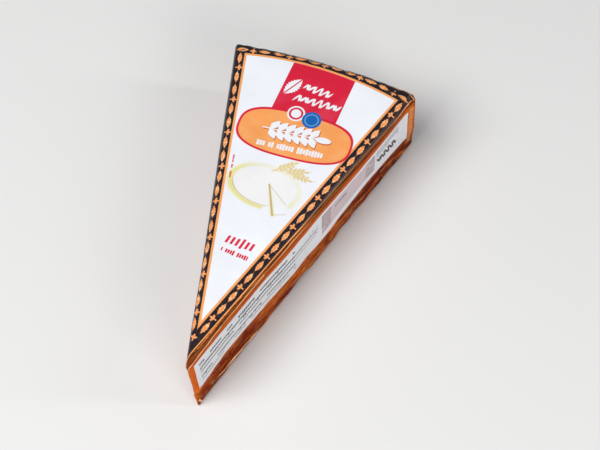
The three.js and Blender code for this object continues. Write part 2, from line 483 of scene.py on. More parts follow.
def add_tip_pleat(shape):
    """Spare sheet from the tip folded flat against the left wall, its free edge slanting."""
    rows, columns = 40, 22
    down = np.linspace(0, 1, rows)[:, None]
    back = np.linspace(0, 1, columns)[None, :]
    y_near = 2 * TIP_RADIUS / SIN
    y_far = y_near + TIP_PLEAT_LENGTH * (1 - 0.5 * down) + 0.25 * noise_at(down * 6, 0.3, 0.4, 71)
    y = y_far + (y_near - y_far) * back
    share = left_share(y)
    _, _, turn, wall_end, _ = wall_reach(LEFT, share)
    reach = turn * 0.8 + (wall_end + 0.4 - turn * 0.8) * down
    merged = smooth(1.0, 0.8, back) * smooth(0, 0.06, down)
    lift = SHEET_GAP * merged - LET_IN * (1 - merged)
    outer, inner, sheet = both_sides(LEFT, share, reach, lift)
    thin_sheet(shape, outer, inner, sheet - np.array([60.0, 0.0, 0.0]))


def add_base_flap(shape):
    """The left wall's sheet, carried on under the base as far as the seam."""
    wall_rows, base_rows, columns = 8, 26, 120
    share = left_share(np.linspace(135.4, 7, columns)[None, :])
    down = np.linspace(0, 1, wall_rows)[:, None]
    _, _, _, wall_end, foot_end = wall_reach(LEFT, share)
    reach = wall_end - 3.5 + (foot_end - wall_end + 3.5) * down
    lift = -LET_IN + (LET_IN + SHEET_GAP) * smooth(0, 0.5, down)
    outer, inner, sheet = both_sides(LEFT, share, reach, lift)
    outer, inner = raised(outer, LOWEST_FLAP), raised(inner, LOWEST_FLAP + SHEET)

    start = outer[-1:]
    limit = np.maximum(start[..., 1] * math.tan(half_angle) - 2.6, start[..., 0] + 1.0)
    seam = np.minimum(SEAM_X + 0.3 * noise_at(start[..., 1] / 11, 0.2, 0.6, 81), limit)
    inwards = np.linspace(0, 1, base_rows + 1)[1:, None]
    x = start[..., 0] + (seam - start[..., 0]) * inwards
    z = LOWEST_FLAP + 0.1 * np.abs(noise_at(x / 12, start[..., 1] / 12, 0.1, 83))
    under = np.stack([x, np.broadcast_to(start[..., 1], x.shape), z], -1)
    outer = np.concatenate([outer, under])
    inner = np.concatenate([inner, under + np.array([0.0, 0.0, SHEET])])
    flat = np.concatenate([sheet, under - np.array([120.0, 0.0, 0.0])])
    thin_sheet(shape, outer, inner, flat)


def build_wrapper():
    shape = Shape()
    add_skin(shape)
    add_heel_flap(shape, True, SHEET_GAP, 91)
    add_heel_flap(shape, False, 2 * SHEET_GAP + SHEET + 0.1, 97)
    add_tip_pleat(shape)
    add_base_flap(shape)
    return shape.to_object("printed_foil_wrapper")


CHEESE_INSET = 1.3
CHEESE_LOW, CHEESE_HIGH = 1.5, HEIGHT - 1.1
CHEESE_HEIGHT = CHEESE_HIGH - CHEESE_LOW


def cheese_reaches(radius):
    innermost = largest_inset - CHEESE_INSET - 0.4 - radius
    ends = turns(radius, radius, CHEESE_HEIGHT)
    return ring_reaches(innermost, *ends, innermost, (12, 6, 22, 6, 12))


def cheese_stand_out(point, z, cut):
    """Unevenness of the cheese, and how far a soft cut side has sunk and bulged."""
    out = 0.16 * noise_at(point[..., 0] / 14, point[..., 1] / 14, z / 9, 101)
    out = out + 0.07 * noise_at(point[..., 0] / 3.1, point[..., 1] / 3.1, z / 3.1, 103) - 0.25
    return out + 0.22 * cut * np.sin(math.pi * np.clip((z - CHEESE_LOW) / CHEESE_HEIGHT, 0, 1))


def build_cheese():
    """The wedge itself: rind on the top, the base and the heel, bare paste on the two cuts."""
    sections, shares = stations(0.5)
    radius = np.where(sections == HEEL, 2.6, 0.9)
    reach = cheese_reaches(radius)
    inset, z, tilt = profile(reach, radius, radius, CHEESE_HEIGHT)
    point, normal = outline(sections, shares, inset + CHEESE_INSET)
    z = z + CHEESE_LOW
    cut = ((sections == RIGHT) | (sections == LEFT)) * np.sin(tilt)
    out = cheese_stand_out(point, z, cut)
    across = point + normal * (out * np.sin(tilt))[..., None]
    place = np.concatenate([across, (z + out * np.cos(tilt))[..., None]], -1)
    flat = point + normal * reach[..., None]
    flat = np.concatenate([flat, np.zeros(reach.shape)[..., None]], -1)
    shape = Shape()
    shape.add(place, flat, ring_faces(len(reach), len(sections)))
    made = shape.to_object("soft_ripened_cheese", 80)

    from_heel = heel_arc_radius - np.hypot(point[..., 0], point[..., 1] - heel_arc_centre)
    depth = np.minimum.reduce([z - CHEESE_LOW, CHEESE_HIGH - z, from_heel - CHEESE_INSET])
    rind = made.data.attributes.new("rind_depth", "FLOAT", "POINT")
    rind.data.foreach_set("value", depth.ravel().astype(np.float32))
    return made


# ---- a small language for shader nodes

class Value:
    """A number over a surface. Arithmetic on it adds Math nodes."""

    def __init__(self, tree, source):
        self.tree = tree
        self.source = source

    def math(self, operation, *others):
        inputs = dict(enumerate((self, *others)))
        return Value(self.tree, add_node(self.tree, "Math", inputs, operation=operation).outputs[0])

    __add__ = __radd__ = partialmethod(math, "ADD")
    __sub__ = partialmethod(math, "SUBTRACT")
    __rsub__ = partialmethod(math, "MULTIPLY_ADD", -1)
    __mul__ = __rmul__ = partialmethod(math, "MULTIPLY")
    __truediv__ = partialmethod(math, "DIVIDE")
    abs = partialmethod(math, "ABSOLUTE")
    sqrt = partialmethod(math, "SQRT")
    floor = partialmethod(math, "FLOOR")
    sine = partialmethod(math, "SINE")
    cosine = partialmethod(math, "COSINE")
    mod = partialmethod(math, "FLOORED_MODULO")
    pingpong = partialmethod(math, "PINGPONG")
    power = partialmethod(math, "POWER")
    max = partialmethod(math, "MAXIMUM")
    min = partialmethod(math, "MINIMUM")

    def ramp(self, low, high, to_low=0, to_high=1):
        """An even rise from to_low where this is low to to_high where it is high."""
        inputs = {"Value": self, "From Min": low, "From Max": high, "To Min": to_low, "To Max": to_high}
        node = add_node(self.tree, "MapRange", inputs, interpolation_type="SMOOTHSTEP")
        return Value(self.tree, node.outputs["Result"])

    def below(self, edge, soft=0.07):
        """1 where this is under edge and 0 above it."""
        return self.ramp(edge - soft, edge + soft, 1, 0)

    def above(self, edge, soft=0.07):
        return self.ramp(edge - soft, edge + soft, 0, 1)

    def between(self, low, high, soft=0.07):
        middle, reach = (low + high) / 2, (high - low) / 2
        return (self - middle).abs().below(reach, soft)


def feed(tree, node, inputs):
    """Feed inputs of a node, each from a Value, a socket or a plain number or colour."""
    for key, item in inputs.items():
        if isinstance(item, Value):
            tree.links.new(item.source, node.inputs[key])
        elif isinstance(item, bpy.types.NodeSocket):
            tree.links.new(item, node.inputs[key])
        else:
            node.inputs[key].default_value = item


def add_node(tree, kind, inputs, **settings):
    node = tree.nodes.new("ShaderNode" + kind)
    for name, value in settings.items():
        setattr(node, name, value)
    feed(tree, node, inputs)
    return node


def vector_of(tree, x, y, z):
    return add_node(tree, "CombineXYZ", {"X": x, "Y": y, "Z": z}).outputs[0]


def split_vector(tree, vector):
    return [Value(tree, out) for out in add_node(tree, "SeparateXYZ", {0: vector}).outputs]


def attribute_value(tree, name):
    return Value(tree, add_node(tree, "Attribute", {}, attribute_name=name).outputs["Fac"])


def object_places(tree, unit_x=1, unit_y=1, unit_z=1):
    """Places on the piece as numbers of units, given in millimetres."""
    source = add_node(tree, "TexCoord", {}).outputs["Object"]
    scale = (1000 / unit_x, 1000 / unit_y, 1000 / unit_z)
    return add_node(tree, "Mapping", {"Vector": source, "Scale": scale}).outputs[0]


def srgb(red, green, blue):
    """A colour as seen on a screen, 0 to 255, as linear light with full alpha."""
    def linear(c):
        c = c / 255
        return c / 12.92 if c <= 0.04045 else ((c + 0.055) / 1.055) ** 2.4
    return (linear(red), linear(green), linear(blue), 1)


def mix_colour(tree, factor, first, second, blend="MIX"):
    inputs = {0: factor, 6: first, 7: second}
    return add_node(tree, "Mix", inputs, data_type="RGBA", blend_type=blend).outputs[2]


def noise_value(tree, vector, scale=1, detail=2, roughness=0.5):
    inputs = {"Vector": vector, "Scale": scale, "Detail": detail, "Roughness": roughness}
    return Value(tree, add_node(tree, "TexNoise", inputs).outputs["Fac"])


def print_noise(x, y, z, detail=2, roughness=0.5):
    """Noise at a place made up of Values."""
    return noise_value(x.tree, vector_of(x.tree, x, y, z), 1, detail, roughness)


def dice(x, y, seed):
    """A different even chance from 0 to 1 for each pair of whole numbers."""
    places = vector_of(x.tree, x, y, seed)
    return Value(x.tree, add_node(x.tree, "TexWhiteNoise", {"Vector": places}).outputs["Value"])


def new_material(name):
    material = bpy.data.materials.new(name)
    material.use_nodes = True
    tree = material.node_tree
    tree.nodes.clear()
    shader = add_node(tree, "BsdfPrincipled", {})
    add_node(tree, "OutputMaterial", {0: shader.outputs[0]})
    return material, tree, shader


def add_bump(tree, shader, height, distance_mm):
    bump = add_node(tree, "Bump", {"Distance": distance_mm * MM, "Height": height})
    feed(tree, shader, {"Normal": bump.outputs[0]})


# ---- the print

# Colours of the inks as they look in even light, of the foil itself, of the shade, highlights and
# reflections painted on the foil, and of the cheese.
WHITE_INK = srgb(237, 240, 245)
BLACK_INK = srgb(28, 29, 38)
LEAF_INK = srgb(247, 164, 102)
VEIN_INK = srgb(206, 112, 62)
PAINTED_LEAF_GLINT = srgb(255, 218, 160)
LINE_INK = srgb(242, 164, 98)
RED_INK = srgb(213, 33, 62)
PLAQUE_INK = srgb(244, 160, 92)
SHADE_INK = srgb(196, 104, 52)
BLUE_INK = srgb(14, 100, 180)
PALE_INK = srgb(236, 236, 236)
GLOW_INK = srgb(226, 220, 132)
GOLD_INK = srgb(190, 158, 78)
WHEAT_INK = srgb(226, 206, 150)
BLACK_SHEEN = srgb(82, 82, 98)
RED_SHEEN = srgb(236, 90, 116)
PLAQUE_SHEEN = srgb(252, 190, 128)
SEAL_RING = srgb(150, 196, 232)
WORD_INK = srgb(84, 78, 84)
MARK_INK = srgb(48, 50, 56)
CLOUD = srgb(150, 150, 160)
FOIL_AT_GRAZING = srgb(236, 160, 110)
GREY_INK = srgb(58, 60, 66)
PANEL_INK = srgb(228, 231, 235)
PINK_INK = srgb(208, 190, 194)
COPPER = srgb(226, 128, 62)
PAINTED_COPPER_SHADE = srgb(128, 38, 12)
PAINTED_COPPER_HIGHLIGHT = srgb(255, 192, 122)
PAINTED_CREASE_HIGHLIGHT = srgb(255, 206, 150)
PAINTED_BRONZE_REFLECTION = srgb(116, 50, 14)
PAINTED_DEEP_SHADE = srgb(42, 24, 14)
PAINTED_RED_BROWN_SHADE = srgb(82, 27, 10)
BARE_FOIL = srgb(214, 214, 212)
PASTE, RIPE_PASTE = srgb(243, 229, 188), srgb(236, 216, 164)
BLOOM, RUBBED_BLOOM = srgb(244, 242, 234), srgb(226, 214, 190)

# The print's place on the sheet: its own sharp tip, and how far it is turned clockwise.
PRINT_TIP_X = -1.9
PRINT_TURN = math.radians(1.07)

WHITE_EDGE = 4.85  # from the print's edge to the white field
BLACK_EDGE = 3.93
LINE_OUTSIDE = 0.45
LEFT_SPREAD = 1.6  # how far the dark band reaches over the left edge
HEEL_SPREAD = 1.1
BAND_MIDDLE = 1.97  # from the print's edge to the row of leaves
PRINT_HEEL = 139.85  # radius of the print's heel edge about its tip
BORDER_PITCH = 15.4
HEEL_PITCH = 15
FIRST_SPRIG = 20.9
LEAF_OFFSET = 4.6  # from a sprig to the leaf on each side of it


class Print:
    """The colour of the sheet, one ink laid over another, and how much of it is ink."""

    def __init__(self, tree, colour):
        self.tree = tree
        self.colour = colour
        self.ink = None

    def lay(self, mask, colour):
        self.colour = mix_colour(self.tree, mask, self.colour, colour)

    def cover(self, mask):
        self.ink = mask if self.ink is None else self.ink.max(mask)


def turned(u, v, centre, degrees):
    """Coordinates along and across a direction, from a centre."""
    c, s = math.cos(math.radians(degrees)), math.sin(math.radians(degrees))
    du, dv = u - centre[0], v - centre[1]
    return du * c + dv * s, dv * c - du * s


def ellipse(a, b, reach_a, reach_b):
    """Below 0 inside an ellipse; near its edge, about the distance from it."""
    a, b = a / reach_a, b / reach_b
    return ((a * a + b * b).sqrt() - 1) * min(reach_a, reach_b)


def plaque_shape(a, b, reach_a, reach_b):
    """Like an ellipse, with fuller corners."""
    a, b = (a / reach_a).abs().power(2.8), (b / reach_b).abs().power(2.8)
    return ((a + b).power(1 / 2.8) - 1) * min(reach_a, reach_b)


def rounded_box(a, b, half_a, half_b, radius):
    """Distance from a box with rounded corners, below 0 inside it."""
    qa = (a.abs() - (half_a - radius)).max(0)
    qb = (b.abs() - (half_b - radius)).max(0)
    return (qa * qa + qb * qb).sqrt() - radius


def stroke(u, v, start, end):
    """Distance from a straight stroke between two points."""
    length = math.hypot(end[0] - start[0], end[1] - start[1])
    degrees = math.degrees(math.atan2(end[1] - start[1], end[0] - start[0]))
    a, b = turned(u, v, start, degrees)
    past = ((a - length / 2).abs() - length / 2).max(0)
    return (past * past + b * b).sqrt()


def leaf_mask(a, b, half_length, half_width):
    """A pointed leaf with a finely lobed rim."""
    width = (1 - (a / half_length).abs().min(1).power(1.9)) * half_width
    lobes = (a * (math.tau / 1.15)).cosine() * 0.12 + 1
    return (b.abs() - width * lobes).below(0, 0.12)


def sprig_mask(a, b):
    """Three small petals towards the inside of the band and a stem towards its edge."""
    middle = ellipse(a, b + 0.75, 0.42, 0.8)
    beside, along = turned(a.abs(), b, (0.66, -0.3), -28)
    petals = ellipse(beside, along, 0.74, 0.38).min(middle)
    stem = rounded_box(a, b - 0.5, 0.26, 0.75, 0.18)
    return petals.min(stem).below(0, 0.14)


def print_edges(u, v):
    """Distances outside the print's side and outside its heel, and the distance along the side."""
    size = u.abs()
    return size * COS - v * SIN, (u * u + v * v).sqrt() - PRINT_HEEL, size * SIN + v * COS


def dark_band(art, u, v, side, heel):
    """The outer line and the dark band, which both reach over the left edge and the heel."""
    edge = side.max(heel)
    on_left = u.below(0, 0.3)
    over_heel = (heel - side).above(0, 0.3)
    spread = on_left * LEFT_SPREAD + (HEEL_SPREAD - on_left * LEFT_SPREAD) * over_heel
    art.cover((edge - spread * 0.75).below(LINE_OUTSIDE))
    art.lay(edge.below(LINE_OUTSIDE), LINE_INK)
    # Painted shade: the outer line darkened towards the middle of each side.
    shaded_line = edge.between(0.05, LINE_OUTSIDE, 0.15) * (v - 97).abs().ramp(22, 34, 0.85, 0)
    art.lay(shaded_line, PAINTED_DEEP_SHADE)
    # Painted highlight: a pale line along the fold over the right part of the heel.
    heel_highlight = heel.between(1.1, 1.8, 0.2) * u.ramp(6, 16, 0, 0.8)
    art.lay(heel_highlight * over_heel, PAINTED_CREASE_HIGHLIGHT)
    inside = (edge - spread).below(0)
    art.lay(inside, BLACK_INK)
    speckle = print_noise(u * 1.1, v * 1.1, 9, 1)
    art.lay(edge.below(0) * speckle.ramp(0.5, 0.75, 0, 0.35), BLACK_SHEEN)
    return edge, inside


def band_leaves(art, u, v, side, heel, run, edge):
    """A row of leaves and sprigs along the band, mirrored about each sprig."""
    on_heel = heel.above(-BLACK_EDGE, 0.02)
    on_side = ((run - FIRST_SPRIG) / BORDER_PITCH).pingpong(0.5) * BORDER_PITCH
    heel_run = u.math("ARCTAN2", v) * (PRINT_HEEL - 2)
    along = (heel_run / HEEL_PITCH).pingpong(0.5) * HEEL_PITCH
    along = on_side + (along - on_side) * on_heel
    across = side + (heel - side) * on_heel + u.below(0, 0.3) * 0.3 + BAND_MIDDLE
    past_tip = run.above(13.4, 0.05) * edge.between(-BLACK_EDGE, 0, 0.12)
    leaf = leaf_mask(along - LEAF_OFFSET, across, 2.6, 0.86) * past_tip
    art.lay(leaf, LEAF_INK)
    vein = across.abs().below(0.1, 0.12) * (along - LEAF_OFFSET).abs().below(1.9, 0.3)
    ribs = ((along + across.abs() * 0.9) * (math.tau / 1.1)).sine().ramp(0.35, 1, 0, 0.7)
    art.lay(vein.max(ribs) * leaf * 0.7, VEIN_INK)
    # Painted highlights: pale glints on the leaves.
    painted_glints = print_noise(u * 0.9, v * 0.9, 5, 1).ramp(0.5, 0.68, 0, 0.8)
    art.lay(painted_glints * leaf, PAINTED_LEAF_GLINT)
    art.lay(sprig_mask(along, across) * past_tip, LEAF_INK)
    art.lay(sprig_mask(u, 11.3 - v), LEAF_INK)


def border(art, u, v):
    """The thin line, the dark band with its leaves and sprigs, and the line round the field."""
    side, heel, run = print_edges(u, v)
    edge, inside = dark_band(art, u, v, side, heel)
    band_leaves(art, u, v, side, heel, run, edge)
    # Painted shade: black patches laid over the leaves along the heel.
    heel_shade_patches = print_noise(u * 0.3, heel * 0.5 + u * 0.12, 4).ramp(0.5, 0.56, 0, 0.9)
    art.lay(heel_shade_patches * heel.above(-2.7, 0.7) * inside, BLACK_INK)
    art.lay(edge.below(-BLACK_EDGE), LINE_INK)
    art.lay(edge.below(-WHITE_EDGE), WHITE_INK)
    return side, run, edge


def script(u, v, centre, half_length, height, wave, degrees, weight=1.2):
    """A wavy stroke, thick and thin like quick handwriting, but spelling nothing."""
    a, b = turned(u, v, centre, degrees)
    a = a - b * 0.35
    turn = a * (math.tau / wave)
    uneven = (a * (math.tau / (wave * 4.3)) + 1).sine().ramp(-1.2, 1, 0.35, 1)
    swing = turn.sine() * uneven
    thick = turn.cosine().abs().ramp(0, 1, 0.4, 0.95) * weight
    line = (b - swing * height).abs() - thick
    return line.below(0, 0.18) * a.abs().below(half_length, 0.3)


def word_bars(u, v, centre, half_length, half_height, cell, degrees, seed, stem=0.39):
    """A row of short upright marks and gaps, as small print looks from afar."""
    a, b = turned(u, v, centre, degrees)
    chance = dice((a / cell).floor(), 0, seed)
    tall = chance.ramp(0.55, 0.95, 0.72, 1) * half_height
    gap = ((a / cell).mod(1) - 0.5).abs().below(stem, 0.12)
    bar = (b.abs() - tall).below(0, 0.12) * gap * chance.above(0.13, 0.005)
    return bar * a.abs().below(half_length, 0.1)


def red_block(art, u, v, edge):
    """The red block that hangs from the heel, with a plain leaf and greeked handwriting."""
    block = rounded_box(u - 0.82, v - 128, 13.05, 17, 0.2).below(0) * edge.below(-WHITE_EDGE)
    art.lay(block, RED_INK)
    sheen = print_noise((u - v * 0.25) * 0.1, v * 0.04, 6).ramp(0.45, 0.7, 0, 0.3)
    art.lay(block * sheen, RED_SHEEN)
    a, b = turned(u, v, (-8.2, 123.6), 62)
    leaf = leaf_mask(a, b, 5, 2.4) * b.abs().above(0.28, 0.1)
    art.lay(leaf.max(script(u, v, (1.8, 125), 5.6, 1.25, 2.7, -4)), WHITE_INK)
    art.lay(script(u, v, (3.7, 119.6), 9.2, 1.3, 2.9, 2), WHITE_INK)


def seals(art, u, v):
    """Two plain round seals where the red block meets the plaque."""
    left = ellipse(u + 2.2, v - 112.2, 3.5, 3.5)
    art.lay(left.below(0), WHITE_INK)
    art.lay((left + 1.1).abs().below(0.42, 0.12), RED_INK)
    right = ellipse(u - 4.6, v - 111.4, 3.8, 3.8)
    art.lay(right.below(0), BLUE_INK)
    art.lay((right + 1.2).abs().below(0.2, 0.15) * 0.6, SEAL_RING)


def wheat_ear(art, u, v, centre, degrees, grains, ink, spread, size):
    """An ear of wheat lying along a direction: pairs of grains on a stem."""
    a, b = turned(u, v, centre, degrees)
    reach = grains * spread / 2
    step = (a / spread).mod(1) * spread - spread / 2
    grain, beside = turned(step, b.abs(), (0, size * 0.62), 38)
    mask = ellipse(grain, beside, size, size * 0.42).below(0, 0.12) * a.abs().below(reach, 0.02)
    last = ellipse(a - reach - size * 0.7, b, size, size * 0.42).below(0, 0.12)
    stem = b.abs().below(0.24, 0.1) * (a + 1.5).abs().below(reach + 1.5, 0.2)
    art.lay(mask.max(last).max(stem), ink)


def plaque(art, u, v):
    """The orange plaque with a red rim, a white ear of wheat and a greeked line."""
    a, b = turned(u, v, (1, 102.6), 4)
    art.lay(plaque_shape(a, b, 23, 10.7).below(0, 0.1), RED_INK)
    shape = plaque_shape(a, b + 0.1, 22.1, 9.75)
    art.lay(shape.below(0, 0.1), PLAQUE_INK)
    sheen = print_noise(a * 0.09, b * 0.13, 2).ramp(0.4, 0.7, 0, 0.35)
    art.lay(sheen * shape.below(-0.3, 0.3), PLAQUE_SHEEN)
    wheat_ear(art, u - 0.45, v + 0.45, (0.4, 103.2), 5, 6, SHADE_INK, 3.2, 3.2)
    wheat_ear(art, u, v, (0.4, 103.2), 5, 6, WHITE_INK, 3.2, 3.2)
    art.lay(word_bars(u, v, (1, 96.3), 13.6, 1.4, 1.15, 6, 12), WHITE_INK)


def picture(art, u, v):
    """A pale wheel with a piece drawn out of it and ears of wheat behind."""
    a, b = turned(u, v, (-0.9, 77.6), -2)
    body = ellipse(a, b, 13.4, 8.6)
    rim = body.abs().ramp(0, 1.9, 1, 0) * (b + a * 0.5).ramp(9, -6, 0.35, 1)
    rim = rim * (1 - (a - 7.5).abs().below(4.3, 0.8) * b.below(-1, 0.5))
    art.lay(rim, GLOW_INK)
    art.lay(body.below(-0.4, 0.6), PALE_INK)
    lower_rim = (ellipse(a, b - 0.3, 12.9, 8.2).abs() - 0.05).below(0.1, 0.2) * b.below(-1, 2.5)
    art.lay(lower_rim * (a + 2).below(6.5, 1.5) * 0.75, GOLD_INK)
    wedge_left = stroke(u, v, (0.6, 79), (6.7, 67.2))
    wedge_top = stroke(u, v, (0.6, 79), (9.9, 72.8))
    wedge_foot = stroke(u, v, (6.7, 67.2), (11.2, 69))
    art.lay(wedge_left.ramp(0.2, 1.5, 0.6, 0) * v.ramp(80, 68), GLOW_INK)
    art.lay(wedge_left.below(0.35, 0.3) * 0.9, GOLD_INK)
    art.lay(wedge_top.min(wedge_foot).below(0.12, 0.25) * 0.7, GOLD_INK)
    for end, degrees in (((3.6, 88.6), 40), ((8, 87.8), 14), ((10.4, 86), -4)):
        wheat_ear(art, u, v, end, degrees, 4, WHEAT_INK, 1.5, 1.15)
    for end in ((6.5, 92), (13.5, 89.6), (16.6, 86)):
        art.lay(stroke(u, v, (0.2, 85.4), end).below(0.1, 0.22) * 0.8, WHEAT_INK)


def small_print(art, u, v):
    """Greeked red words under the picture and along the left edge of the field."""
    art.lay(word_bars(u - v * 0.15 + 7.8, v, (0.3, 52), 5.9, 2.2, 1.95, -1, 5, 0.27), RED_INK)
    art.lay(word_bars(u, v, (0.1, 47.3), 5.4, 1.05, 0.95, -3, 7), RED_INK)
    art.lay(word_bars(u, v, (-15.9, 81.3), 5.4, 0.42, 0.62, -76, 9), RED_INK)


def text_rows(run, depth, cell, pitch, seed):
    """Rows of greeked print: marks of uneven height on a line, with gaps between words."""
    row_number = (depth / pitch).floor()
    chance = dice((run / cell).floor(), row_number, seed)
    word = dice((run / (cell * 3)).floor(), row_number, seed + 20)
    rise = (depth / pitch).mod(1) - 0.22
    tall = chance.ramp(0.5, 1, 0.44, 0.66)
    row = rise.above(0, 0.03) * (rise - tall).below(0, 0.03)
    mark = ((run / cell).mod(1) - 0.5).abs().below(0.43, 0.08)
    return row * mark * word.above(0.12, 0.01)


def info_panel(art, side, run):
    """The pale panel on each cut side, with rows of greeked print."""
    panel = rounded_box(run - 71.3, side - 15.6, 66.8, 8.8, 0.4).below(0)
    art.cover(panel)
    art.lay(panel, PANEL_INK)
    rows = text_rows(run, side - 0.35, 1.1, 2.9, 1)
    long_rows = rounded_box(run - 35.5, side - 15.2, 28.5, 6.6, 0.1).below(0)
    blank_row = side.between(16.3, 18.8).ramp(0, 1, 0.95, 0.15)
    art.lay(rows * long_rows * blank_row, GREY_INK)
    short_rows = rounded_box(run - 71.3, side - 13.6, 7.2, 2.6, 0.1).below(0)
    art.lay(rows * short_rows * 0.6, GREY_INK)

    block = rounded_box(run - 98.5, side - 14.9, 17.5, 6.2, 0.2).below(0)
    art.lay(block, PINK_INK)
    fine = text_rows(run, side, 0.75, 1.5, 2)
    ends = (run - 98.5).abs().above(11.5, 0.2)
    art.lay(fine * block * ends * 0.75, GREY_INK)
    art.lay(word_bars(run, side, (93, 12.4), 4, 0.9, 0.9, 0, 4), WORD_INK)
    above_mark = rounded_box(run - 124.5, side - 10.6, 7.5, 2.2, 0.1).below(0)
    art.lay(fine * above_mark * 0.8, GREY_INK)
    art.lay(script(run, side, (124, 16.6), 6.2, 1.3, 2.7, 0, 2), MARK_INK)


# Painted highlights along folds of the right wall, pale lines where the creases catch the light: both
# ends as (distance along the side, distance outside the edge) in the print's frame, the
# half-width, and how bright. The last one is a painted highlight on the pale upright edge at the heel.
PAINTED_HIGHLIGHT_FOLDS = [
    ((-1.5, 5), (20.5, 2.45), 0.24, 1),
    ((20.5, 2.45), (46, 1.9), 0.16, 0.75),
    ((50, 1.7), (74, 1.9), 0.12, 0.45),
    ((3, 31.5), (4.2, 35), 0.26, 1),
    ((10.5, 31.6), (20.5, 34.3), 0.24, 0.9),
    ((20.5, 34.3), (38, 35.6), 0.26, 1),
    ((60, 31.5), (74, 33), 0.18, 0.5),
    ((96, 29), (107, 31.5), 0.18, 0.5),
    ((120, 28), (131, 29.5), 0.16, 0.5),
    ((122, 1.4), (138, 0.7), 0.22, 0.9),
    ((139.9, 6), (139.7, 27), 1, 0.3),
]


# Painted highlights: pale lines laid along the folds of the right wall listed above.
def paint_fold_highlights(art, u, v):
    side, run = u * COS - v * SIN, u * SIN + v * COS
    for start, end, half_width, strength in PAINTED_HIGHLIGHT_FOLDS:
        line = stroke(run, side, start, end)
        fold_highlight = line.ramp(half_width * 0.5, half_width * 1.9, strength, 0)
        art.lay(fold_highlight, PAINTED_CREASE_HIGHLIGHT)
        art.cover(fold_highlight * 0.9)


def sheet_coordinates(tree):
    """Places in the print's frame: u to the right of its tip and v towards its heel."""
    x, y, _ = split_vector(tree, add_node(tree, "UVMap", {}, uv_map="Sheet").outputs[0])
    x, y = x * SHEET_UNIT - PRINT_TIP_X, y * SHEET_UNIT
    c, s = math.cos(PRINT_TURN), math.sin(PRINT_TURN)
    return x * c - y * s, y * c + x * s


def paint_crumple_reflections(art, along_walls, lower, crumpled, v):
    """Painted dark reflections and highlights in patches on the crumpled foil near the base. Returns
    its facets' depth.
    """
    tree = art.tree
    low = lower * crumpled
    # Painted dark reflections: patches, blots and mottle, strongest on the strip near the base.
    patches = noise_value(tree, along_walls, 1, 3, 0.55)
    art.lay(patches.ramp(0.4, 0.62, 0, 0.7) * (low * 0.8 + 0.08), PAINTED_COPPER_SHADE)
    shade_blots = noise_value(tree, object_places(tree, 17, 17, 6))
    art.lay(shade_blots.ramp(0.5, 0.58, 0, 0.85) * low, PAINTED_COPPER_SHADE)
    mottle = noise_value(tree, object_places(tree, 6.5, 6.5, 3.2), 1, 3, 0.6)
    art.lay(mottle.ramp(0.46, 0.56, 0.9, 0.1) * low * v.ramp(55, 80), PAINTED_RED_BROWN_SHADE)
    places = object_places(tree, 3.6, 3.6, 1.7)
    facets = add_node(tree, "TexVoronoi", {"Vector": places, "Scale": 1, "Detail": 1})
    chance, _, _ = split_vector(tree, facets.outputs["Color"])
    # Painted shade and highlights on single facets.
    art.lay(chance.ramp(0.45, 0.1, 0, 0.4) * lower, PAINTED_COPPER_SHADE)
    art.lay(chance.ramp(0.85, 1, 0, 0.16) * lower, PAINTED_COPPER_HIGHLIGHT)
    return Value(tree, facets.outputs["Distance"])


def paint_shoulder_reflections(art, u, v, far):
    """Painted reflections and shade: bronze, bright and nearly black streaks that run along the walls
    under the band.
    """
    wander = print_noise(u * 0.07, v * 0.07, 3)
    streaks = print_noise(u * 0.02, v * 0.02, far * 1.5 + wander * 4.5, 2, 0.6)
    under_band = far.ramp(0.2, 0.9) * (far + v * 0.012).ramp(3.4, 5.8, 1, 0)
    art.lay(under_band * streaks.ramp(0.42, 0.56, 1, 0.1), PAINTED_BRONZE_REFLECTION)
    art.lay(under_band * streaks.ramp(0.6, 0.66, 0, 0.6), PAINTED_COPPER_HIGHLIGHT)
    art.lay(under_band * (streaks - 0.46).abs().below(0.02, 0.02) * 0.8, PAINTED_DEEP_SHADE)
    # Painted shade: nearly black streaks over the middle of each side.
    dark_reflection_zone = far.ramp(2.6, 4.8, 1, 0) * (v - 102).abs().ramp(24, 46, 0.95, 0)
    art.lay(dark_reflection_zone * streaks.ramp(0.46, 0.64, 1, 0.45), PAINTED_DEEP_SHADE)


def paint_fold_shade_and_highlights(art):
    """Painted shade in the valleys of the crinkled mesh and painted highlights on its crests."""
    folds = attribute_value(art.tree, "folds")
    art.lay(folds.ramp(0.1, -0.7, 0, 0.7), PAINTED_COPPER_SHADE)
    art.lay(folds.ramp(0.78, 1, 0, 0.35), PAINTED_COPPER_HIGHLIGHT)


def foil_relief(tree, along_walls, facet_depth, loose):
    """Height of the creases, facets and dents that are too fine for the mesh."""
    creases = (noise_value(tree, along_walls) - 0.5).abs() * -2
    dents = noise_value(tree, object_places(tree, 11, 11, 11)) * 0.35
    grain = noise_value(tree, object_places(tree), 2.2) * 0.02
    return (creases * 0.7 + facet_depth * 0.9) * loose + dents + grain


